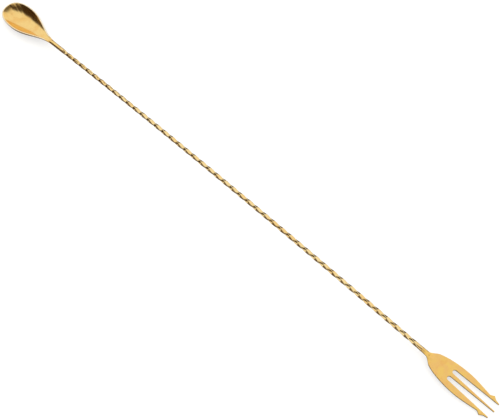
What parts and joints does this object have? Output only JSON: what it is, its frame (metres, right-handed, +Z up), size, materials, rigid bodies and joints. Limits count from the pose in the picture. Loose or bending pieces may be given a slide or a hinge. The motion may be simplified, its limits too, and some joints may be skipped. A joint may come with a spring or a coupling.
{
  "type": "bar spoon",
  "caption": "Long slim bar spoon with a teardrop bowl, a twisted square stem and a barbed trident fork at the other end, in satin gold plate.",
  "frame": {"origin": "middle of the spoon's length and width, on the surface it lies on", "axes": "+X along the spoon from the bowl towards the fork, +Y across it, +Z up out of the bowl's hollow"},
  "size_m": [0.5007, 0.0232, 0.0169],
  "materials": {
    "gold_bowl": "stainless steel, polished and gold plated",
    "gold_stem": "stainless steel, polished and gold plated",
    "gold_fork": "stainless steel, satin and gold plated",
    "gold_braze": "brazing filler, dressed flush and gold plated"
  },
  "bodies": {
    "root": {"teardrop_bowl": "gold_bowl", "twisted_stem": "gold_stem", "trident_fork": "gold_fork", "bowl_braze_ring": "gold_braze", "fork_braze_ring": "gold_braze"}
  },
  "joints": []
}
